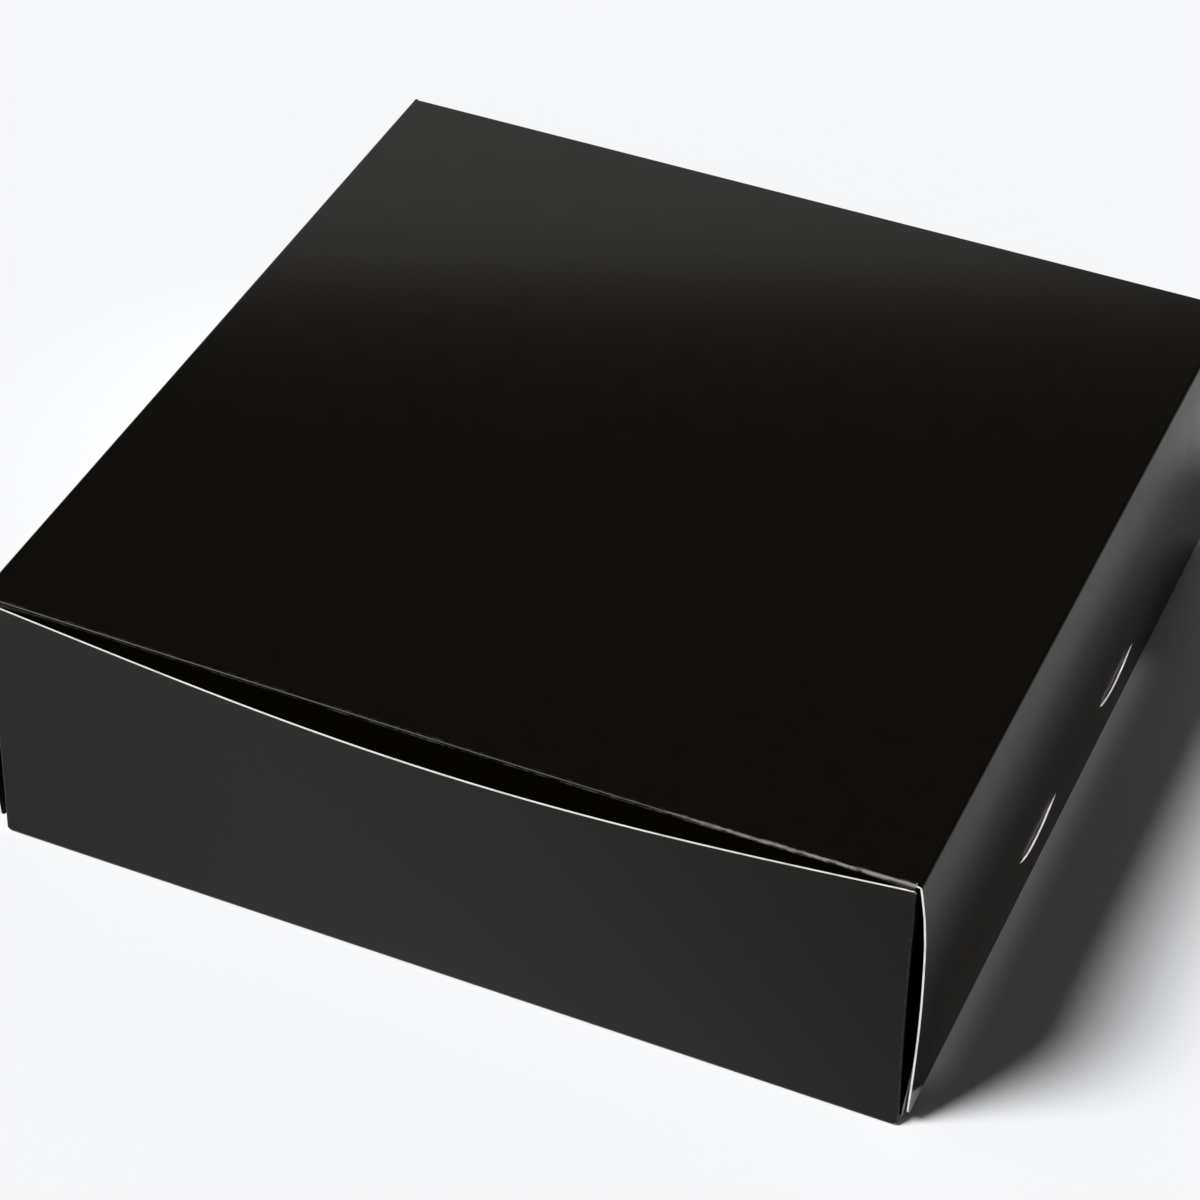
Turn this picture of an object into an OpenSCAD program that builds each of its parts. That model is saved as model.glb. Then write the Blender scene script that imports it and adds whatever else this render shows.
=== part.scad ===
// Hand-erected cake box: a square tray with an attached lid, folded from one sheet of black paperboard.
// The lid's front edge tucks in behind the front wall, and its side flaps hang outside the side walls.
// Origin: centre of the base, on its underside. +X is the box's right, -Y its front, +Z up.

/* [Box] */
// Width of the closed lid, from crease to crease
lid_w = 305; // [200:1:400]
// Depth of the base, front to back
box_d = 305; // [200:1:400]
// Height of the closed box
box_h = 98.6; // [70:0.2:150]
// Thickness of the paperboard
board_t = 0.6; // [0.4:0.05:1]

/* [Tray] */
// How much wider the base is than the lid, because the walls lean in
base_over = 1; // [0:0.5:4]
// Height of the front and side walls, measured along the board
wall_h = 96; // [65:0.5:147]
// Free play between a side wall's rim and the inside of the lid, on each side
lid_play = 0.4; // [0.3:0.05:1.5]
// How far the middle of the front wall's rim bows out
front_bow = 12.6; // [0:0.2:20]
// How far a side wall bows out at mid height
wall_bulge = 2; // [0.5:0.1:2.2]
// Set-back of the side walls' raw edges from the front and back folds
side_setback = 1; // [0.5:0.1:3]
// Length of the corner ears that fold back inside the side walls
ear_l = 70; // [30:1:90]
// Gap between an ear and the foot and rim of the side wall that it stands inside
ear_play = 0.3; // [0.2:0.05:1.5]
// How much lower an ear is than the walls, top and bottom
ear_relief = 2; // [1:0.5:6]
// How much the ears narrow towards their free end, top and bottom
ear_taper = 14; // [4:1:25]

/* [Lid] */
// Set-back of the lid's front fold from the front wall, so that it tucks in behind
tuck_setback = 0.75; // [0.7:0.05:2]
// Depth of the tuck flap below its fold
tuck_h = 35; // [15:1:45]
// Inward lean of the tuck flap, in degrees
tuck_lean = 5; // [4:0.5:10]
// How much narrower the tuck flap is than the lid, on each side
tuck_relief = 3; // [2.8:0.1:6]
// Radius of the tuck flap's lower corners
tuck_r = 10; // [3:1:15]
// Outer radius of the lid's front fold
fold_r = 1; // [0.9:0.05:2]
// Radius of the rolled bead along each crease that works as a hinge
bead_r = 0.38; // [0.36:0.01:0.6]
// Running gap between a bead and the board beside it
crease_gap = 0.1; // [0.05:0.01:0.2]

/* [Side flaps] */
// Gap between a side flap's lower edge and the floor
flap_floor = 4; // [2:0.5:20]
// How far a side flap's lower edge stands out from its crease
flap_flare = 2.9; // [2.8:0.1:6]
// How far a side flap bulges out past a straight line from crease to lower edge
flap_bulge = 4; // [2:0.1:8]
// Set-back of a side flap's raw edges from the front and back of the lid
flap_setback = 1.2; // [0.5:0.1:3]
// Radius of a side flap's lower corners
flap_r = 3; // [1:0.5:12]
// Distance of each half-moon slit from the middle of its flap
slit_offset = 40; // [25:1:90]
// Width of a half-moon slit, from tip to tip
slit_w = 35; // [15:1:45]
// Depth of a half-moon slit, from tips to lowest point
slit_drop = 5.5; // [3:0.5:10]
// Height of a slit's lowest point above the floor
slit_z = 19; // [12:1:50]
// Width of the cut that makes a slit
slit_kerf = 0.4; // [0.3:0.1:1]

/* [Hidden] */
$fn = 32;
// Black coated board, and the slightly lighter flaps that are seen edge-on
board_black = "#232325";
flap_black = "#161618";
// Facets along and up the bowed front wall
bow_cols = 20;
bow_rows = 4;
// Facets round a large arc
arc_fn = 720;
// How far joined areas of one outline overlap
lap = 0.1;
// Height and half width of the creases that the lid and its flaps turn on
hinge_z = box_h - board_t / 2;
hinge_x = lid_w / 2 - board_t / 2;
hinge_y = box_d / 2 - board_t / 2;
// Distance from a crease's axis to the board beside its bead
hinge_gap = bead_r + crease_gap;
// Width of the base
base_w = lid_w + base_over;
// Half widths of the tray's outside at the base and at the side walls' rims
base_half = base_w / 2;
rim_half = lid_w / 2 - board_t - lid_play;
// Half width of the front wall's rim, whose corners stand in front of the side flaps' raw edges
front_rim_half = lid_w / 2 - board_t / 2;
// Centre of the arc of the lid's front fold
fold_y = -box_d / 2 + tuck_setback + fold_r;
fold_z = box_h - fold_r;
// Ends of a side flap's cross-section
flap_top = [hinge_x, hinge_z - hinge_gap];
flap_low = [hinge_x + flap_flare, flap_floor];
// Radius of a slit's arc, and half the angle that it spans
slit_r = arc_radius(slit_w, slit_drop);
slit_half_angle = asin(slit_w / 2 / slit_r);

// Radius of the arc on a chord of length c that rises s above it
function arc_radius(c, s) = c * c / (8 * s) + s / 2;

// Half width of the tray at height z, between the feet and the rims of its side walls
function half_at(z) = base_half + (rim_half - base_half) * z / wall_h;

// Point on the outer face of the front wall, at share s of its width and h up along the board
function front_point(s, h) =
    let (lean = asin(front_bow * cos(90 * s) / wall_h))
    [s * (base_half + (front_rim_half - base_half) * h / wall_h), -box_d / 2 - h * sin(lean), h * cos(lean)];

// Extrudes an outline drawn in X and Z over the length from y0 to y1
module along_y(y0, y1) {
    translate([0, y1, 0]) rotate([90, 0, 0]) linear_extrude(y1 - y0) children();
}

// Extrudes an outline drawn in Y and Z over the length from x0 to x1
module along_x(x0, x1) {
    translate([x0, 0, 0]) rotate([90, 0, 90]) linear_extrude(x1 - x0) children();
}

// Flap outline that hangs from z = top to z = low, with its lower corners rounded
module hanging_outline(half, top, low, r) {
    translate([-half, low + r]) square([2 * half, top - low - r]);
    translate([-half + r, low]) square([2 * (half - r), r + lap]);
    for (side = [-1, 1]) translate([side * (half - r), low + r]) circle(r);
}

// Bowed front wall: straight along its bottom fold, curved along its raw rim
module front_wall() {
    row = bow_cols + 1;
    outer = [for (j = [0:bow_rows]) for (i = [0:bow_cols])
        front_point(2 * i / bow_cols - 1, wall_h * j / bow_rows)];
    inner = [for (p = outer) p + [0, board_t, 0]];
    back = len(outer);
    cells = [for (j = [0:bow_rows - 1]) for (i = [0:bow_cols - 1]) j * row + i];
    rim = concat(
        [for (i = [0:bow_cols - 1]) i],
        [for (j = [0:bow_rows - 1]) j * row + bow_cols],
        [for (i = [bow_cols:-1:1]) bow_rows * row + i],
        [for (j = [bow_rows:-1:1]) j * row]);
    edges = [for (k = [0:len(rim) - 1]) [rim[k], rim[(k + 1) % len(rim)]]];
    polyhedron(concat(outer, inner), concat(
        [for (a = cells) [a, a + row, a + row + 1]],
        [for (a = cells) [a, a + row + 1, a + 1]],
        [for (a = cells) [a + back, a + back + row + 1, a + back + row]],
        [for (a = cells) [a + back, a + back + 1, a + back + row + 1]],
        [for (e = edges) [e[0], e[1], e[1] + back]],
        [for (e = edges) [e[0], e[1] + back, e[0] + back]]));
}

// Cross-section in X and Z of a sheet between two points of its middle, bowed towards +X by `bulge`,
// which runs past both points by `spare`, for an outline to cut
module bowed_section(low, top, bulge, spare = 0) {
    chord = norm(top - low);
    r = arc_radius(chord, bulge);
    lean = atan2(low.x - top.x, top.y - low.y);
    intersection() {
        translate((low + top) / 2 - (r - bulge) * [cos(lean), sin(lean)]) difference() {
            circle(r + board_t / 2, $fn = arc_fn);
            circle(r - board_t / 2, $fn = arc_fn);
        }
        translate([0, low.y - spare]) square([lid_w, top.y - low.y + 2 * spare]);
    }
}

// Right side wall, with raw edges at the front and back
module side_wall() {
    along_y(-box_d / 2 + side_setback, box_d / 2 - side_setback)
        bowed_section([base_half - board_t / 2, 0], [rim_half - board_t / 2, wall_h], wall_bulge);
}

// Ear that folds back from the front wall's right end and stands inside the side wall
module front_ear() {
    top = wall_h - ear_relief;
    inset = board_t + ear_play;
    intersection() {
        along_y(-box_d / 2, -box_d / 2 + ear_l)
            polygon([
                [half_at(0) - inset - board_t, 0], [half_at(0) - inset, 0],
                [half_at(top) - inset, top], [half_at(top) - inset - board_t, top]]);
        along_x(0, base_w)
            polygon([
                [-box_d / 2, 0], [-box_d / 2 + board_t, ear_relief],
                [-box_d / 2 + ear_l, ear_relief + ear_taper],
                [-box_d / 2 + ear_l, top - ear_taper], [-box_d / 2, top]]);
    }
}

// Back wall, which reaches up to the lid's crease
module back_wall() {
    top = hinge_z - hinge_gap;
    along_y(box_d / 2 - board_t, box_d / 2)
        polygon([
            [-half_at(0) + board_t, 0], [half_at(0) - board_t, 0],
            [half_at(top) - board_t, top], [-half_at(top) + board_t, top]]);
}

// Base, four walls and four ears, folded from one sheet
module tray() {
    color(board_black) {
        translate([-base_half, -box_d / 2, 0]) cube([base_w, box_d, board_t]);
        front_wall();
        back_wall();
        for (side = [0, 1]) mirror([side, 0, 0]) {
            side_wall();
            front_ear();
            mirror([0, 1, 0]) front_ear();
        }
    }
}

// Cross-section in Y and Z of the lid's front fold and tuck flap
module tuck_section() {
    reach = 2 * fold_r;
    translate([fold_y, fold_z]) {
        intersection() {
            difference() {
                circle(fold_r);
                circle(fold_r - board_t);
            }
            polygon([
                [0, 0], [0, reach], [-reach, reach], [-reach, 0],
                [-reach * cos(tuck_lean), -reach * sin(tuck_lean)]]);
        }
        rotate(tuck_lean) translate([-fold_r, -tuck_h]) square([board_t, tuck_h]);
    }
}

// Front fold and tuck flap, narrower than the lid, with rounded lower corners
module tuck_flap() {
    half = lid_w / 2 - tuck_relief;
    intersection() {
        along_x(-half, half) tuck_section();
        along_y(-box_d / 2, 0)
            hanging_outline(half, box_h + board_t, fold_z - tuck_h * cos(tuck_lean), tuck_r);
    }
}

// Lid panel with a bead along each crease, and the tuck flap at its front
module lid() {
    color(board_black) {
        translate([-hinge_x, fold_y, box_h - board_t])
            cube([2 * hinge_x, hinge_y - fold_y, board_t]);
        tuck_flap();
        translate([-hinge_x, hinge_y, hinge_z]) rotate([0, 90, 0]) cylinder(2 * hinge_x, r = bead_r);
        for (side = [-1, 1])
            translate([side * hinge_x, hinge_y, hinge_z]) rotate([90, 0, 0])
                cylinder(hinge_y - fold_y, r = bead_r);
    }
}

// Arc cut of one half-moon slit, drawn in Y and Z with its lowest point at the origin
module slit_arc() {
    reach = 2 * slit_r;
    translate([0, slit_r]) intersection() {
        difference() {
            circle(slit_r + slit_kerf / 2, $fn = arc_fn);
            circle(slit_r - slit_kerf / 2, $fn = arc_fn);
        }
        polygon([
            [0, 0], [-reach * sin(slit_half_angle), -reach * cos(slit_half_angle)],
            [reach * sin(slit_half_angle), -reach * cos(slit_half_angle)]]);
    }
}

// Bulged side flap of the right side, with rounded lower corners and two half-moon slits
module side_flap() {
    half = box_d / 2 - flap_setback;
    intersection() {
        along_y(-half, half) bowed_section(flap_low, flap_top, flap_bulge, board_t);
        along_x(0, lid_w) difference() {
            hanging_outline(half, flap_top.y, flap_floor, flap_r);
            for (side = [-1, 1]) translate([side * slit_offset, slit_z]) slit_arc();
        }
    }
}

module right_flap() {
    color(flap_black) side_flap();
}

module left_flap() {
    color(flap_black) mirror([1, 0, 0]) side_flap();
}

tray();
lid();
left_flap();
right_flap();
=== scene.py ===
import math

import bpy
import numpy as np
from mathutils import Matrix, Vector
from mathutils.geometry import delaunay_2d_cdt


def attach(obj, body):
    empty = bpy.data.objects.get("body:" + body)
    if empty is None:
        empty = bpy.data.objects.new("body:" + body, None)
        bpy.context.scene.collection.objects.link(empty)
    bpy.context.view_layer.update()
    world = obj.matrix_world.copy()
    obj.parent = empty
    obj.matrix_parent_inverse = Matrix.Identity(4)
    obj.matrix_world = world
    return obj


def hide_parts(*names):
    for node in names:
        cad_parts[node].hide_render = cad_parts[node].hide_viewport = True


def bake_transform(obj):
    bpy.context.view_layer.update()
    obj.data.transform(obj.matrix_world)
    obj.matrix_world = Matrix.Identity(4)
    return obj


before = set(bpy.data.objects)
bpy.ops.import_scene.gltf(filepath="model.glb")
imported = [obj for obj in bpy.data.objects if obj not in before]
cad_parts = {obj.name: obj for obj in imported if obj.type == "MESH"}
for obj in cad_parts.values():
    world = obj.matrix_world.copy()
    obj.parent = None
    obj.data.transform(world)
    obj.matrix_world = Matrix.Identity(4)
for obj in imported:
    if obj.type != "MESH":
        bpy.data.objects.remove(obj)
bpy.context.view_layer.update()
scene = bpy.context.scene


# The sheet. The box is one blank of solid bleached paperboard, 0.6 mm thick, printed black on both
# faces under a satin varnish. It is die-cut after printing, so each raw edge shows the white board.

BOARD = 0.6  # lengths are in millimetres up to the finished mesh, as on the real blank
COATED, CORE = 0, 1  # material slots of every panel


def linear(code):
    """Linear colour of an sRGB hex value."""
    parts = [int(code[i : i + 2], 16) / 255 for i in (1, 3, 5)]
    return [p / 12.92 if p <= 0.04045 else ((p + 0.055) / 1.055) ** 2.4 for p in parts] + [1.0]


def add_node(tree, kind, inputs=None, **settings):
    """Adds a node with its settings; each input takes a value or the socket that feeds it."""
    node = tree.nodes.new(kind)
    for name, value in settings.items():
        setattr(node, name, value)
    for name, value in (inputs or {}).items():
        if isinstance(value, bpy.types.NodeSocket):
            tree.links.new(value, node.inputs[name])
        else:
            node.inputs[name].default_value = value
    return node


def new_material(name):
    """An empty material and its node tree."""
    material = bpy.data.materials.new(name)
    material.use_nodes = True
    material.node_tree.nodes.clear()
    return material, material.node_tree


# Printed and varnished paperboard: a near-black ink with a soft satin sheen. The fibres under the
# varnish show as a faint mottle, and the ink is rubbed to grey where a fold stands proud. The same
# grey, through the same mask, is painted highlight along the lid's front fold and a painted
# reflection on the right flap's front corner.
coated_board, tree = new_material("satin_black_printed_board")
place = add_node(tree, "ShaderNodeTexCoord").outputs["Object"]
# Cloudy formation of the sheet, about 9 mm across
cloud = add_node(tree, "ShaderNodeTexNoise", {"Vector": place, "Scale": 110, "Detail": 3})
# Fibre clumps, 0.8 mm across: real ones are 0.2 mm, too fine to show in the render
fibre = add_node(
    tree, "ShaderNodeTexNoise", {"Vector": place, "Scale": 1250, "Detail": 2, "Roughness": 0.6})
# Streaks along the folds, 0.7 mm high and five times as long, in the rubbing and the painted light marks
streaks = add_node(tree, "ShaderNodeVectorMath", {0: place, 1: (0.2, 1, 1)}, operation="MULTIPLY")
streak_noise = add_node(
    tree, "ShaderNodeTexNoise",
    {"Vector": streaks.outputs[0], "Scale": 1400, "Detail": 4, "Roughness": 0.7})
# The rubbing and the painted light marks come and go along a fold, over stretches of about 20 mm
patch_noise = add_node(tree, "ShaderNodeTexNoise", {"Vector": place, "Scale": 45, "Detail": 2})
wear_and_painted_light = add_node(tree, "ShaderNodeAttribute", attribute_name="wear_and_painted_light")
rub_and_light_level = add_node(
    tree, "ShaderNodeMath", {0: wear_and_painted_light.outputs["Fac"], 1: patch_noise.outputs["Fac"]}, operation="MULTIPLY")
rub_and_light_sum = add_node(
    tree, "ShaderNodeMath", {0: rub_and_light_level.outputs[0], 1: 0.9, 2: streak_noise.outputs["Fac"]},
    operation="MULTIPLY_ADD")
rub_and_light_full = add_node(
    tree, "ShaderNodeMapRange",
    {"Value": rub_and_light_sum.outputs[0], "From Min": 0.58, "From Max": 0.8, "To Min": 0.0, "To Max": 1.0})
rub_and_painted_light = add_node(
    tree, "ShaderNodeMath", {0: rub_and_light_full.outputs[0], 1: wear_and_painted_light.outputs["Fac"]},
    operation="MULTIPLY", use_clamp=True)
ink = add_node(
    tree, "ShaderNodeMix",
    {0: cloud.outputs["Fac"], 6: linear("#090704"), 7: linear("#0e0b07")}, data_type="RGBA")
inked_fibre = add_node(
    tree, "ShaderNodeMix",
    {0: fibre.outputs["Fac"], 6: ink.outputs[2], 7: linear("#0f0c08")}, data_type="RGBA")
# Light grey where the ink is rubbed, and as painted highlight and painted reflection where the mask carries
# them
ink_rubbed_and_painted_light = add_node(
    tree, "ShaderNodeMix",
    {0: rub_and_painted_light.outputs[0], 6: inked_fibre.outputs[2], 7: linear("#a09c96")}, data_type="RGBA")
sheen = add_node(
    tree, "ShaderNodeMapRange",
    {"Value": cloud.outputs["Fac"], "From Min": 0.3, "From Max": 0.7, "To Min": 0.29, "To Max": 0.33})
# Rubbed ink is duller, and the painted light marks are dulled with it
sheen_rubbed_and_lit = add_node(
    tree, "ShaderNodeMath", {0: rub_and_painted_light.outputs[0], 1: 0.3, 2: sheen.outputs[0]},
    operation="MULTIPLY_ADD")
# The varnish follows the fibres by about 4 micrometres
grain = add_node(
    tree, "ShaderNodeBump",
    {"Strength": 0.5, "Distance": 0.000008, "Height": fibre.outputs["Fac"]})
# The sheet waves by about 0.02 mm between formation clouds
ripple = add_node(
    tree, "ShaderNodeBump",
    {"Strength": 0.5, "Distance": 0.00004, "Height": cloud.outputs["Fac"], "Normal": grain.outputs[0]})
varnish = add_node(
    tree, "ShaderNodeBsdfPrincipled",
    {"Base Color": ink_rubbed_and_painted_light.outputs[2], "Roughness": sheen_rubbed_and_lit.outputs[0],
     "Specular IOR Level": 0.13, "Normal": ripple.outputs[0]})
add_node(tree, "ShaderNodeOutputMaterial", {"Surface": varnish.outputs[0]})

# Bleached board where the die cut it: bright, fibrous and quite matt, a little grey in places
# where the blade dragged ink over the edge.
board_core, tree = new_material("bleached_board_cut_edge")
place = add_node(tree, "ShaderNodeTexCoord").outputs["Object"]
# Torn fibres 0.5 mm long, and ink dragged over stretches of about 6 mm
torn = add_node(
    tree, "ShaderNodeTexNoise", {"Vector": place, "Scale": 2000, "Detail": 3, "Roughness": 0.7})
drag = add_node(tree, "ShaderNodeTexNoise", {"Vector": place, "Scale": 160, "Detail": 3})
drag_level = add_node(
    tree, "ShaderNodeMapRange",
    {"Value": drag.outputs["Fac"], "From Min": 0.5, "From Max": 0.75, "To Min": 0.0, "To Max": 0.45})
pulp = add_node(
    tree, "ShaderNodeMix",
    {0: torn.outputs["Fac"], 6: linear("#d9d6d0"), 7: linear("#faf8f4")}, data_type="RGBA")
dragged = add_node(
    tree, "ShaderNodeMix",
    {0: drag_level.outputs[0], 6: pulp.outputs[2], 7: linear("#8d8a84")}, data_type="RGBA")
torn_bump = add_node(
    tree, "ShaderNodeBump", {"Strength": 0.6, "Distance": 0.00005, "Height": torn.outputs["Fac"]})
core = add_node(
    tree, "ShaderNodeBsdfPrincipled",
    {"Base Color": dragged.outputs[2], "Roughness": 0.85, "Specular IOR Level": 0.3,
     "Normal": torn_bump.outputs[0]})
add_node(tree, "ShaderNodeOutputMaterial", {"Surface": core.outputs[0]})


def lines(stops, step):
    """Positions of a lattice's lines: every stop, and even steps between stops that are far apart."""
    out = [stops[0]]
    for a, b in zip(stops, stops[1:]):
        n = max(1, math.ceil((b - a) / step - 1e-6))
        out += [a + (b - a) * (i + 1) / n for i in range(n)]
    return out


FOLD_NEAR, FOLD_FAR = 0.35, 1.5  # lattice lines beyond a fold that keep its shading off the flats


def bend_lines(start, length, count=6):
    """Lattice lines across a fold: its facets, and two more lines beyond each end."""
    end = start + length
    facets = [start + length * i / count for i in range(count + 1)]
    return [start - FOLD_FAR, start - FOLD_NEAR, *facets, end + FOLD_NEAR, end + FOLD_FAR]


def mirrored_steps(values):
    """Values from 0 up, with the same ones below 0."""
    return [-value for value in reversed(values[1:])] + values


def both_sides(half):
    """An outline's right half, closed by its mirror image."""
    return half + [(-u, v) for u, v in reversed(half)]


def inside(outline, points):
    """Which points lie within an outline."""
    hit = np.zeros(len(points), bool)
    for (x0, y0), (x1, y1) in zip(outline, outline[1:] + outline[:1]):
        crosses = (y0 > points[:, 1]) != (y1 > points[:, 1])
        if y0 != y1:
            at = x0 + (points[:, 1] - y0) * (x1 - x0) / (y1 - y0)
            hit ^= crosses & (points[:, 0] < at)
    return hit


def reach(path, points, closed=True):
    """Distance from each point to a path's nearest straight piece."""
    least = np.full(len(points), 1e9)
    ends = path[1:] + path[:1] if closed else path[1:]
    for a, b in zip(path, ends):
        a, b = np.array(a), np.array(b)
        along = np.clip((points - a) @ (b - a) / max((b - a) @ (b - a), 1e-12), 0, 1)
        least = np.minimum(least, np.linalg.norm(points - a - along[:, None] * (b - a), axis=1))
    return least


CLEAR_EDGE, CLEAR_CUT = 0.04, 0.9  # how near lattice points come to the outline and to a cut
ON_EDGE = 0.01  # how near a line a point counts as on it


def fold_sheet(name, outline, us, vs, shape, joined, wear_and_painted_light, outer=1, cuts=(), tongue=None, flip=False):
    """Cuts a panel out of the flat sheet and folds it up.

    The outline and the lattice's lines us and vs are in millimetres on the flat sheet, and shape
    gives the folded place of the middle of the board. joined tells which edges go on into the next
    crease, and wear gives the rubbing of the ink on the outer face, together with the painted
    highlight and painted reflection marks that share it. Each of the cuts frees a tongue, and
    tongue tells which side of the cut it is on. flip mirrors the folded panel.
    """
    # The outline gets a point wherever a line of the lattice meets it
    edge = []
    for a, b in zip(outline, outline[1:] + outline[:1]):
        a, b = np.array(a, float), np.array(b, float)
        shares = {0.0}
        for axis, values in ((0, us), (1, vs)):
            if abs(b[axis] - a[axis]) > 1e-6:
                shares |= {round((c - a[axis]) / (b[axis] - a[axis]), 7) for c in values}
        edge += [tuple(a + (b - a) * s) for s in sorted(shares) if 0 <= s < 1 - 1e-6]
    grid = np.array([(u, v) for u in us for v in vs])
    grid = grid[inside(outline, grid) & (reach(outline, grid) > CLEAR_EDGE)]
    for cut in cuts:
        grid = grid[reach(cut, grid, closed=False) > CLEAR_CUT]
    flat = [Vector(p) for p in edge + [tuple(p) for p in grid]]
    chains = []
    for cut in cuts:
        chains.append([len(flat) + i for i in range(len(cut))])
        flat += [Vector(p) for p in cut]
    seams = [(c[i], c[i + 1]) for c in chains for i in range(len(c) - 1)]
    flat, _, faces, origin, _, _ = delaunay_2d_cdt(
        flat, seams, [list(range(len(edge)))], 1, 1e-5)
    flat = [tuple(p) for p in flat]
    faces = [tuple(f) for f in faces]
    # Along a cut, the tongue's faces get points of their own
    cut_points = {i for i, sources in enumerate(origin) for c in chains if set(c[1:-1]) & set(sources)}
    twin = {}
    for k, face in enumerate(faces):
        parted = cut_points & set(face)
        if parted and tongue(*np.mean([flat[i] for i in face], axis=0)):
            for i in parted:
                if i not in twin:
                    twin[i] = len(flat)
                    flat.append(flat[i])
            faces[k] = tuple(twin.get(i, i) for i in face)
    loose = set(twin.values())
    middle = np.array([shape(u, v, i in loose) for i, (u, v) in enumerate(flat)], float)
    if flip:
        middle[:, 0] *= -1
        faces = [f[::-1] for f in faces]
    # Point normals, in which each face counts by its angle at the point
    corners = np.array(faces)
    first, second, third = (middle[corners[:, k]] for k in range(3))
    normal = np.cross(second - first, third - first)
    normal /= np.linalg.norm(normal, axis=1)[:, None]
    point_normal = np.zeros_like(middle)
    for k in range(3):
        a, b, c = (middle[corners[:, (k + j) % 3]] for j in range(3))
        ab, ac = b - a, c - a
        spread = np.arccos(np.clip(
            (ab * ac).sum(1) / np.linalg.norm(ab, axis=1) / np.linalg.norm(ac, axis=1), -1, 1))
        np.add.at(point_normal, corners[:, k], normal * spread[:, None])
    point_normal /= np.linalg.norm(point_normal, axis=1)[:, None]
    # Both faces of the board, and a rim round them
    n = len(flat)
    coords = np.vstack([middle + point_normal * BOARD / 2, middle - point_normal * BOARD / 2]) * 0.001
    sides = {(f[i], f[(i + 1) % 3]) for f in faces for i in range(3)}
    rim = sorted(s for s in sides if (s[1], s[0]) not in sides)
    polygons = faces + [tuple(i + n for i in f[::-1]) for f in faces]
    polygons += [(b, a, a + n, b + n) for a, b in rim]
    mesh = bpy.data.meshes.new(name)
    mesh.from_pydata(coords.tolist(), [], polygons)
    mesh.materials.append(coated_board)
    mesh.materials.append(board_core)
    slots = [COATED] * (2 * len(faces))
    for a, b in rim:
        goes_on = joined((flat[a][0] + flat[b][0]) / 2, (flat[a][1] + flat[b][1]) / 2)
        slots.append(COATED if goes_on else CORE)
    mesh.polygons.foreach_set("material_index", slots)
    mesh.polygons.foreach_set("use_smooth", [True] * len(polygons))
    rims = {tuple(sorted(pair)) for a, b in rim for pair in ((a, b), (a + n, b + n))}
    mesh.attributes.new("sharp_edge", "BOOLEAN", "EDGE").data.foreach_set(
        "value", [tuple(sorted(e.vertices)) in rims for e in mesh.edges])
    # These values hold real rubbing, and the painted highlight and painted reflection marks of the lid and
    # the right flap
    rubbing_and_light = np.zeros(2 * n, np.float32)
    start = 0 if outer > 0 else n
    rubbing_and_light[start : start + n] = [wear_and_painted_light(u, v) for u, v in flat]
    mesh.attributes.new("wear_and_painted_light", "FLOAT", "POINT").data.foreach_set("value", rubbing_and_light)
    mesh.update()
    obj = bpy.data.objects.new(name, mesh)
    scene.collection.objects.link(obj)
    return obj


# The tray. Base and walls are folded up from the sheet. The end walls carry ears that fold back
# inside the side walls, which stand free and bulge a little, and the front wall's rim bows out.

BEND = 0.7  # radius of the middle of the board in a fold
BEND_L = BEND * math.pi / 2
BASE_X, BASE_Y = 152.0, 151.5  # where the side and end folds of the base start
WALL_H, BACK_H = 95.0, 96.2  # front and back wall above their folds
BOW = 10.9  # how far the front wall's rim bows out
BOW_SKEW = 0.14  # it bows a little more towards its right end
FOOT_OUT, FOOT_SKEW = 1.1, 0.5  # the front fold stands out at the foot, most at its right end
CORNER_X = 152.95  # half width of an end wall at its foot
CORNER_TAPER, CORNER_H = 1.05, 96  # what it loses up to this height
DRAW_FRONT, DRAW_BACK = 0.5, 0.3  # how far the end walls' vertical folds draw in at mid height
EAR_X = 152.2  # where an end wall turns into its ear
EAR_L = 70.0
EAR_STEP, EAR_EASE, EAR_LEAN = 0.85, 0.8, 0.022  # an ear steps in past its fold and then leans in
EAR_TOP, EAR_FOOT = 14, 16  # how far its top edge falls, and its bottom edge rises, towards its end
EAR_TIP = 6  # its cut corners
NOTCH = 0.2  # the cut between ear and side wall ends this far above the fold
END_Y = 152.5  # outside of the end walls


def through(points, per=10):
    """Smooth curve through a few points, as a function of the distance along it."""
    p = np.array(points, float)
    p = np.vstack([2 * p[0] - p[1], p, 2 * p[-1] - p[-2]])
    out = []
    for i in range(1, len(p) - 2):
        for t in np.arange(per) / per:
            out.append(0.5 * (2 * p[i] + (p[i + 1] - p[i - 1]) * t
                              + (2 * p[i - 1] - 5 * p[i] + 4 * p[i + 1] - p[i + 2]) * t * t
                              + (3 * p[i] - p[i - 1] - 3 * p[i + 1] + p[i + 2]) * t ** 3))
    out = np.array(out + [p[-2]])
    run = np.concatenate([[0], np.cumsum(np.linalg.norm(np.diff(out, axis=0), axis=1))])

    def at(distance):
        return tuple(np.interp(distance, run, out[:, k]) for k in (0, 1))

    return at, run[-1]


# Raw end of a side wall: how far up the wall, and how far back from the end wall
side_end = [(0, 4.2), (6, 4.6), (12, 6.6), (20, 9.0), (40, 11.0), (60, 11.5), (96, 11.5)]
# Cross-section of a side wall, across and up, as it bulges
side_at, side_run = through([
    (152.7, 1.0), (153.2, 8), (153.7, 20), (153.95, 35), (153.95, 50), (153.6, 65), (152.95, 80),
    (152.0, 95)])


def end_x(z, front):
    """Half width of an end wall over its vertical folds; the front one draws in at mid height."""
    draw = DRAW_FRONT if front else DRAW_BACK
    return CORNER_X - CORNER_TAPER * z / CORNER_H - draw * math.sin(math.pi * min(z, CORNER_H) / CORNER_H)


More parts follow.
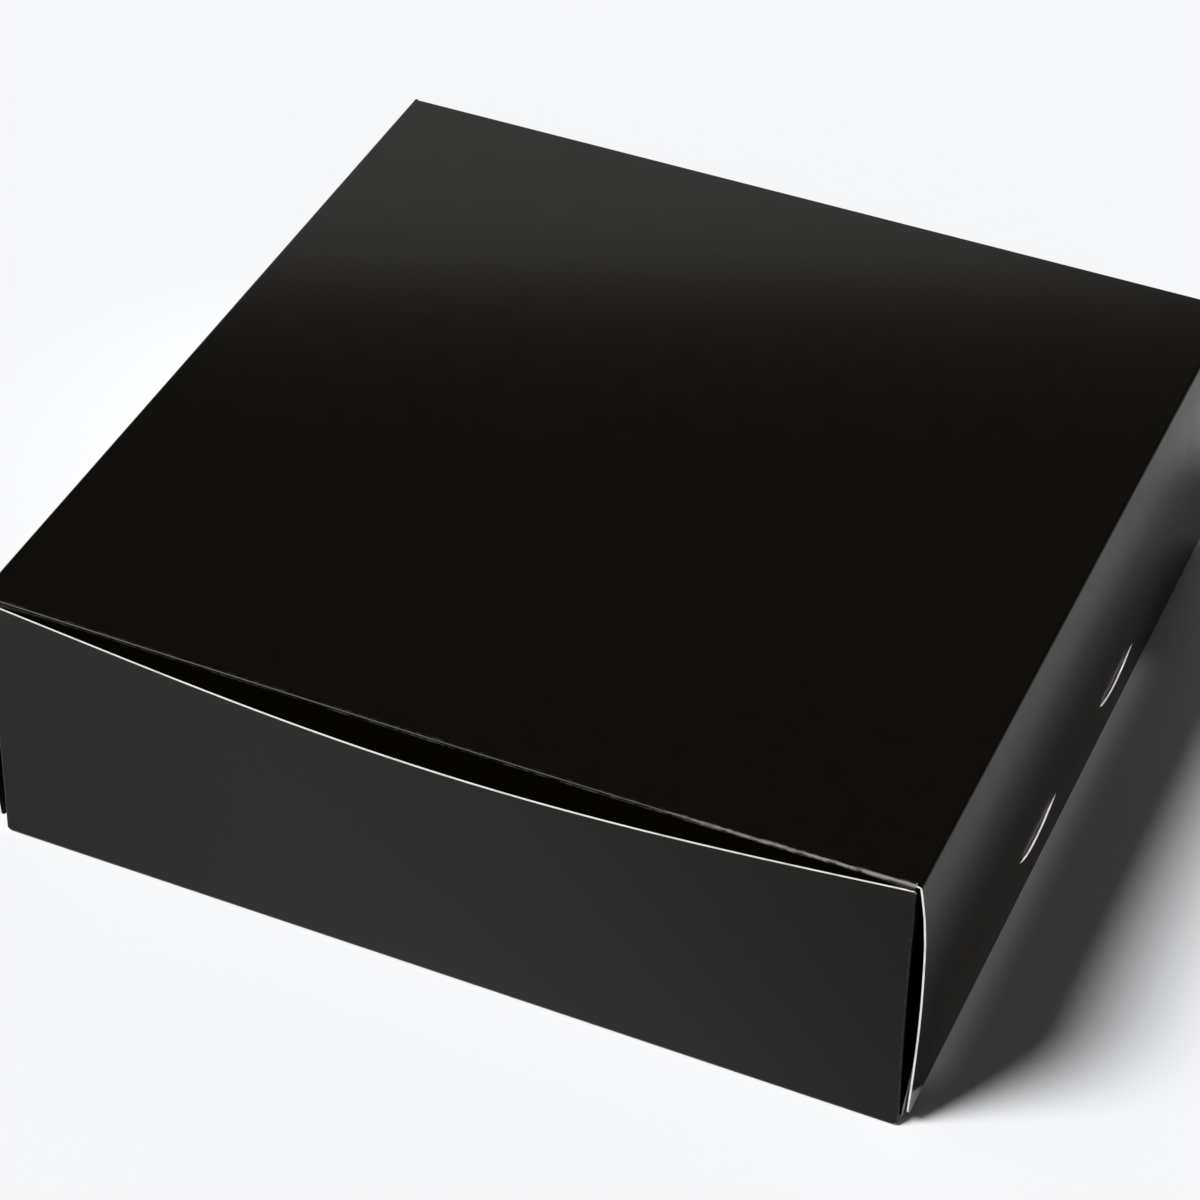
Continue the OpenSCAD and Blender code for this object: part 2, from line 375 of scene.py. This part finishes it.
def tray_shape(u, v, _):
    """Base, side walls, and end walls with their ears, one after the other."""
    across, along = abs(u), abs(v)
    out = FOOT_OUT + FOOT_SKEW * u / EAR_X if v < 0 else 0.0
    if along <= BASE_Y and across <= BASE_X:
        return u, v - out * along / BASE_Y, BOARD / 2
    if along <= BASE_Y:
        turn = min((across - BASE_X) / BEND, math.pi / 2)
        x, z = BASE_X + BEND * math.sin(turn), BOARD / 2 + BEND * (1 - math.cos(turn))
        if across > BASE_X + BEND_L:
            x, z = side_at(across - BASE_X - BEND_L)
        return math.copysign(x, u), v - out * along / BASE_Y, z
    front = v < 0
    rise = along - BASE_Y - BEND_L
    share = min(across / EAR_X, 1)
    bow = BOW * math.cos(math.pi / 2 * share) * (1 + BOW_SKEW * math.copysign(share, u)) - out
    lean = math.asin(bow / WALL_H) if front else 0.0
    turn = (math.pi / 2 - lean) * min((along - BASE_Y) / BEND_L, 1)
    y = BASE_Y + out + BEND * math.sin(turn)
    z = BOARD / 2 + BEND * (1 - math.cos(turn))
    if rise > 0:
        y += rise * math.sin(lean)
        z += rise * math.cos(lean)
    x = share * (end_x(z, front) - 1)
    if across > EAR_X:
        heading = math.atan(BOW * math.pi / 2 / EAR_X * max(rise, 0) / WALL_H) if front else 0.0
        turned = heading + (math.pi / 2 - heading) * min((across - EAR_X) / BEND_L, 1)
        x += BEND * (math.sin(turned) - math.sin(heading))
        y -= BEND * (math.cos(heading) - math.cos(turned))
        past = across - EAR_X - BEND_L
        if past > 0:
            x -= EAR_STEP * (1 - math.exp(-past / EAR_EASE)) + past * EAR_LEAN
            y -= past
    return math.copysign(x, u), math.copysign(y, v), z


def rubbed_and_highlight_band(off, width):
    """How much of a band of rubbing, and of a painted highlight line, is left this far off the band's
    middle.
    """
    return math.exp(-(off / width) ** 2)


def tray_wear(u, v):
    """The folds at the foot are rubbed, most of all at the corners, and the upright ones are a little paler
    along a thin line.
    """
    across, along = abs(u), abs(v)
    if along > BASE_Y:
        upright = 0.24 * rubbed_and_highlight_band(across - EAR_X - BEND_L / 2, 0.45)
        corner = (across / EAR_X) ** 12
        return max(upright, (0.35 + 0.4 * corner) * rubbed_and_highlight_band(along - BASE_Y - BEND_L / 2, 0.5))
    return 0.4 * rubbed_and_highlight_band(across - BASE_X - BEND_L / 2, 0.5)


foot = BASE_Y + BEND_L
ear_start = EAR_X + BEND_L
ear_end = ear_start + EAR_L
# Outlines of the front right and the back right quarter
quarters = []
for height, rim_drop, side in ((WALL_H, 1.5, -1), (BACK_H, 2.5, 1)):
    ear_top = foot + height - rim_drop
    quarter = [
        (EAR_X, foot + height), (ear_start, ear_top),
        (ear_end - EAR_TIP, ear_top - EAR_TOP), (ear_end, ear_top - EAR_TOP - EAR_TIP),
        (ear_end, foot + EAR_FOOT + EAR_TIP), (ear_end - EAR_TIP, foot + EAR_FOOT),
        (ear_start + 3, foot + NOTCH), (EAR_X, foot + NOTCH), (BASE_X, foot + NOTCH),
        (BASE_X, END_Y - side_end[0][1])]
    quarter += [(BASE_X + BEND_L + min(up, side_run), END_Y - back) for up, back in side_end]
    quarters.append([(u, side * v) for u, v in quarter])
tray_folds = sorted({round(u, 4) for u in bend_lines(BASE_X, BEND_L) + bend_lines(EAR_X, BEND_L)})
tray_us = lines([0, *tray_folds, ear_start + 4, BASE_X + BEND_L + side_run], 9)
front_vs = lines([9, BASE_Y - FOLD_FAR], 9)[:-1] + lines([*bend_lines(BASE_Y, BEND_L), foot + WALL_H], 8)
back_vs = lines([0, *bend_lines(BASE_Y, BEND_L), foot + BACK_H], 9)
tray_board = fold_sheet(
    "tray_board", both_sides(quarters[0] + quarters[1][::-1]), mirrored_steps(tray_us),
    [-v for v in reversed(front_vs)] + back_vs, tray_shape,
    joined=lambda u, v: v > foot + BACK_H - ON_EDGE, wear_and_painted_light=tray_wear, outer=-1)
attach(tray_board, "tray")
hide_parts("tray")


# The lid. It goes on from the back wall as one panel, a little slack at its front, where the sheet
# rolls over a scored fold into the tuck flap that stands behind the front wall.

TOP = 98.3  # middle of the board in the closed lid
LID_FRONT, LID_BACK, LID_X = 151.45, 151.1, 151.6  # where the front fold and the creases start
SAG, SAG_SKEW = 1.15, 0.7  # the front edge hangs lower in the middle, and more on the right
CORNER_SAG = 0.35  # it hangs by this nearly up to its corners
BELLY = 0.35  # how far the lid's middle hangs
TUCK_X = 151.2  # the tuck flap's half width at the fold
TUCK_IN, TUCK_DRAW = 149.3, 2.5  # it draws in to this half width over this length, to pass the ears
TUCK_L, TUCK_R = 34.0, 10.0  # its depth and the radius of its corners
TUCK_TURN = math.radians(97)  # it leans in a little
TUCK_BEND = BEND * TUCK_TURN
RAW_Y = 152.3  # raw ends of the lid's corners and of the side flaps
NICK = 0.2  # width and depth of the nick between the tuck flap and each corner


def lid_shape(u, v, _):
    """The slack panel, and past its front fold the tuck flap."""
    share = min(abs(u) / LID_X, 1)
    slack = math.cos(math.pi / 2 * share)
    ahead = min(max(0.0, (LID_BACK - v) / (LID_BACK + LID_FRONT)), 1)
    droop = slack * (SAG + SAG_SKEW * u / LID_X) + CORNER_SAG * (1 - share ** 8)
    z = TOP - droop * ahead ** 5 - slack * BELLY * math.sin(math.pi * ahead)
    if v >= -LID_FRONT or abs(u) > TUCK_X + NICK / 2:
        return u, v, z
    past = -LID_FRONT - v
    turn = min(past / BEND, TUCK_TURN)
    y = -LID_FRONT - BEND * math.sin(turn)
    z -= BEND * (1 - math.cos(turn))
    if past > TUCK_BEND:
        y -= (past - TUCK_BEND) * math.cos(TUCK_TURN)
        z -= (past - TUCK_BEND) * math.sin(TUCK_TURN)
    return u, y, z


def lid_wear_and_highlight(u, v):
    """The front fold has two thin lines of painted highlight, at the start and at the bottom of its roll,
    and from u = 75 on to the right one broad rubbed scuff.
    """
    right_end = 1 / (1 + math.exp(-(u - 75) / 12))
    past = -LID_FRONT - v
    # The upper and lower lines are painted highlight on the fold's roll, the lower one brighter to the
    # right; the scuff is rubbed ink
    upper = 0.25 * (1 - right_end) * rubbed_and_highlight_band(past, 0.13)
    lower = (0.3 + 0.12 * u / LID_X) * rubbed_and_highlight_band(past - TUCK_BEND * 0.8, 0.2)
    scuff = 0.68 * right_end * rubbed_and_highlight_band(past - TUCK_BEND * 0.45, 0.5)
    return max(upper, lower, scuff)


tuck_start = -LID_FRONT - TUCK_BEND
tuck_end = tuck_start - TUCK_L
lid_half = [
    (TUCK_IN - TUCK_R + TUCK_R * math.sin(a), tuck_end + TUCK_R - TUCK_R * math.cos(a))
    for a in np.linspace(0, math.pi / 2, 9)]
lid_half += [
    (TUCK_IN, tuck_start - TUCK_DRAW), (TUCK_X, tuck_start), (TUCK_X, -LID_FRONT + NICK),
    (TUCK_X + NICK, -LID_FRONT + NICK), (TUCK_X + NICK, -RAW_Y), (LID_X, -RAW_Y), (LID_X, LID_BACK)]
lid_us = lines([0, TUCK_IN - TUCK_R, TUCK_IN - 2, TUCK_IN, TUCK_X - 0.8, TUCK_X, LID_X], 10)
tuck_folds = sorted(-v for v in bend_lines(LID_FRONT, TUCK_BEND, 10))
lid_vs = lines([
    tuck_end, tuck_end + TUCK_R, *tuck_folds, -LID_FRONT + 0.7, -LID_FRONT + 2.5,
    LID_BACK - 0.4, LID_BACK], 10)
lid_board = fold_sheet(
    "lid_board", both_sides(lid_half), mirrored_steps(lid_us), lid_vs, lid_shape, wear_and_painted_light=lid_wear_and_highlight,
    joined=lambda u, v: v > LID_BACK - ON_EDGE or (abs(u) > LID_X - ON_EDGE and v > -RAW_Y))
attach(lid_board, "lid")
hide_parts("lid")


# The side flaps. They hang from the lid outside the tray, bulged by the side walls behind them.
# Each has two half-moon slits, whose tongues are pressed in a little, and small round corners.

FLAP_START = (153.06, 97.12)  # where the flap leaves its crease, across and up
FLAP_R = 3.0  # its lower corners
SLIT_Y, SLIT_Z = 40.0, 19.0  # a slit's distance from the middle, and the height of its lowest point
SLIT_HALF, SLIT_DROP = 17.5, 5.5  # half its width, and the depth of its arc
SLIT_R = SLIT_HALF ** 2 / (2 * SLIT_DROP) + SLIT_DROP / 2
TONGUE_IN, TONGUE_L = 1.1, 12.0  # how deep a tongue is pressed in, and how far up that reaches
REFLECTION_UP, REFLECTION_BACK = 11, 14  # reach of the painted reflection on the right flap's front corner

# Cross-section of a flap, across and up, from its crease down
flap_at, flap_run = through([
    FLAP_START, (153.68, 93.5), (154.2, 90), (154.7, 86.5), (155.15, 81.5), (155.65, 75), (155.95, 65),
    (156.15, 53), (156.1, 41), (155.8, 28), (155.4, 16), (155.05, 8), (154.9, 4)])
slit_low = min(np.linspace(0, flap_run, 2000), key=lambda d: abs(flap_at(d)[1] - SLIT_Z))


def above_slit(u, v):
    """How far a point lies above its nearest slit, and how far along the slit's half width."""
    a = abs(abs(v) - SLIT_Y)
    if a >= SLIT_HALF:
        return -1.0, 1.0
    return slit_low - u - (SLIT_R - math.sqrt(SLIT_R ** 2 - a * a)), a / SLIT_HALF


def in_tongue(u, v):
    """Whether a point is on a tongue's side of its slit."""
    return above_slit(u, v)[0] > 0


def flap_shape(u, v, loose):
    """The bulged flap, with the tongue above each slit pressed in."""
    x, z = flap_at(u)
    rise, share = above_slit(u, v)
    if rise > 1e-3 or loose:
        fade = max(0.0, 1 - max(rise, 0) / TONGUE_L)
        x -= TONGUE_IN * (1 - share ** 2) * fade ** 1.5
    return x, v, z


def flap_wear(u, v):
    """The ink is a little rubbed along the raw edges."""
    return 0.15 * rubbed_and_highlight_band(min(RAW_Y - abs(v), flap_run - u), 0.8)


def flap_wear_and_painted_reflection(u, v):
    """The right flap's front bottom corner has a painted reflection, light grey up to a slanting line, over
    the rubbed raw edges.
    """
    past = REFLECTION_UP * (1 - (v + RAW_Y) / REFLECTION_BACK) - (flap_run - u)
    return max(flap_wear(u, v), 0.95 * min(max(past / 1.2 + 0.5, 0), 1))


flap_corner = [
    (flap_run - FLAP_R + FLAP_R * math.sin(a), RAW_Y - FLAP_R + FLAP_R * math.cos(a))
    for a in np.linspace(0, math.pi / 2, 7)]
flap_outline = [(0, -RAW_Y)] + [(u, -v) for u, v in flap_corner] + flap_corner[::-1] + [(0, RAW_Y)]
# The lattice has a line every millimetre in the corner with the painted reflection, and one near each end
# of a slit
flap_us = lines([0, 0.4, 1.5, *(flap_run - c for c in range(14, -1, -1))], 5)
flap_vs = lines([
    *(c - RAW_Y for c in range(17)), -SLIT_Y - 17, -SLIT_Y + 17, SLIT_Y - 17, SLIT_Y + 17,
    RAW_Y - FLAP_R, RAW_Y - 1, RAW_Y], 5)
half_angle = math.asin(SLIT_HALF / SLIT_R)
slits = [
    [(slit_low - SLIT_R + SLIT_R * math.cos(a), side * SLIT_Y + SLIT_R * math.sin(a))
     for a in np.linspace(-half_angle, half_angle, 25)]
    for side in (-1, 1)]
for side, flip in (("left", True), ("right", False)):
    flap_board = fold_sheet(
        side + "_flap_board", flap_outline, flap_us, flap_vs, flap_shape,
        wear_and_painted_light=flap_wear if side == "left" else flap_wear_and_painted_reflection,
        joined=lambda u, v: u < ON_EDGE, cuts=slits, tongue=in_tongue, flip=flip)
    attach(flap_board, side + "_flap")
    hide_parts(side + "_flap")


# The creases. Three scored lines are the box's hinges: the lid's back one and one along each side of it.
# The sheet runs on through them, so each is a narrow strip, shaped as the bend from one panel into the
# next.

SPARE = 0.4  # flat board at both edges of a crease
SIDE_BEND = 1.0  # the side creases are rounder than the sheet's other folds
BACK_ENDS = 151.2  # half length of the back crease


def crease(name, profile, ends, place, flip=False):
    """A strip with a given cross-section, bent to that shape and put in place."""
    at, run = through(profile, 1)
    us = list(np.concatenate([[0], np.cumsum(np.linalg.norm(np.diff(profile, axis=0), axis=1))]))
    strip = fold_sheet(
        name, [(0, -ends), (run, -ends), (run, ends), (0, ends)],
        us, lines([-ends, -ends + 1, ends - 1, ends], 10), lambda u, v, _: place(*at(u), v),
        joined=lambda u, v: u < ON_EDGE or u > run - ON_EDGE,
        wear_and_painted_light=lambda u, v: 0.1 * rubbed_and_highlight_band(u - run / 2, 0.4), flip=flip)
    hand = -1 if flip else 1
    start, end = ((hand * x, y, z) for x, y, z in (place(*profile[1], 0), place(*profile[-2], 0)))
    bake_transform(strip)


# Side creases: a 78 degree turn, because the flap leaves its crease leaning out
side_profile = [
    (LID_X, TOP),
    *((LID_X + SPARE + SIDE_BEND * math.cos(a), TOP - SIDE_BEND + SIDE_BEND * math.sin(a))
      for a in np.radians(np.linspace(90, 12, 9))),
    FLAP_START]
for side, flip in (("left", True), ("right", False)):
    crease(side + "_crease", side_profile, RAW_Y,
           lambda across, up, along: (across, along, up), flip=flip)

# Back crease: a square turn from the back wall into the lid
back_profile = [
    (BASE_Y + BEND, BOARD / 2 + BEND + BACK_H),
    *((LID_BACK + SPARE + BEND * math.cos(a), TOP - BEND + BEND * math.sin(a))
      for a in np.radians(np.linspace(0, 90, 9))),
    (LID_BACK, TOP)]
crease("back_crease", back_profile, BACK_ENDS,
       lambda across, up, along: (along, across, up))


# The studio. A pale floor, a broad soft key from above on the front left, a low card behind the box
# that gives the lid its glow, and a gridded strip on the right. The camera is where the photo's was.

FLOOR_HALF = 6.0
KEY_FROM = (-0.52, -0.52, 1.0)
GLOW_AT = (0, 0.118, 0.0986)  # the middle of the glow's front edge on the lid
CARD_AWAY, CARD_DOWN = 0.10, 0.052  # the card's middle from there, along the mirrored view and down
STRIP_AT, STRIP_AWAY = (0.156, -0.028, 0.027), 0.2  # its aim on the right flap, and how far off it is
CAMERA_AT = (0.36821, -0.88627, 0.84941)
AZIMUTH, ELEVATION, ROLL = (math.radians(a) for a in (23.22, 40.41, 0.84))

floor_mesh = bpy.data.meshes.new("floor")
floor_corners = [(x * FLOOR_HALF, y * FLOOR_HALF, 0) for x, y in ((-1, -1), (1, -1), (1, 1), (-1, 1))]
floor_mesh.from_pydata(floor_corners, [], [(0, 1, 2, 3)])
floor = bpy.data.objects.new("floor", floor_mesh)
scene.collection.objects.link(floor)
floor_paint, tree = new_material("matt_white_floor")
diffuse = add_node(tree, "ShaderNodeBsdfDiffuse", {"Color": linear("#f5f6f8")})
add_node(tree, "ShaderNodeOutputMaterial", {"Surface": diffuse.outputs[0]})
floor_mesh.materials.append(floor_paint)

world = bpy.data.worlds.new("studio")
scene.world = world
world.use_nodes = True
world.node_tree.nodes["Background"].inputs["Color"].default_value = (1, 1, 1, 1)
world.node_tree.nodes["Background"].inputs["Strength"].default_value = 0.05

key = bpy.data.objects.new("key", bpy.data.lights.new("key", "SUN"))
key.data.energy = 3.75
key.data.angle = math.radians(22)
key.matrix_world = Vector(KEY_FROM).to_track_quat("Z", "Y").to_matrix().to_4x4()
scene.collection.objects.link(key)


def stand(place, across, up, back):
    """Matrix that stands a lamp or camera at a place, turned by its three axes."""
    return Matrix.Translation(place) @ Matrix((across, up, back)).transposed().to_4x4()


def panel_light(name, width, height, spread, energy, matrix):
    """A rectangular lamp that the camera doesn't see."""
    lamp = bpy.data.objects.new(name, bpy.data.lights.new(name, "AREA"))
    lamp.data.shape = "RECTANGLE"
    lamp.data.size, lamp.data.size_y = width, height
    lamp.data.spread = math.radians(spread)
    lamp.data.energy = energy
    lamp.matrix_world = matrix
    lamp.visible_camera = False
    scene.collection.objects.link(lamp)


# The card stands about square to the camera's view as the lid mirrors it
away = Vector((-0.30, 0.70, 0.648)).normalized()
level = Vector((away.y, -away.x, 0)).normalized()
rise = level.cross(away)
panel_light(
    "card", 0.46, 0.105, 90, 0.047,
    stand(Vector(GLOW_AT) + away * CARD_AWAY - rise * CARD_DOWN, level, rise, away))

# A narrow strip with a grid, low on the right, picks out the white cut edges of the slits
aim = Vector((-0.866, 0, -0.5))
level = Vector((0, 1, 0))
panel_light(
    "strip_light", 0.21, 0.026, 9, 0.026,
    stand(Vector(STRIP_AT) - aim * STRIP_AWAY, level, level.cross(aim), -aim))

camera = bpy.data.objects.new("camera", bpy.data.cameras.new("camera"))
camera.data.lens = 113.7
camera.data.sensor_width = 36
view_back = Vector((
    math.sin(AZIMUTH) * math.cos(ELEVATION), -math.cos(AZIMUTH) * math.cos(ELEVATION), math.sin(ELEVATION)))
view_level = Vector((0, 0, 1)).cross(view_back).normalized()
view_across = view_level * math.cos(ROLL) + view_back.cross(view_level) * math.sin(ROLL)
camera.matrix_world = stand(CAMERA_AT, view_across, view_back.cross(view_across), view_back)
scene.collection.objects.link(camera)
scene.camera = camera
scene.view_settings.view_transform = "Standard"

bpy.context.view_layer.update()
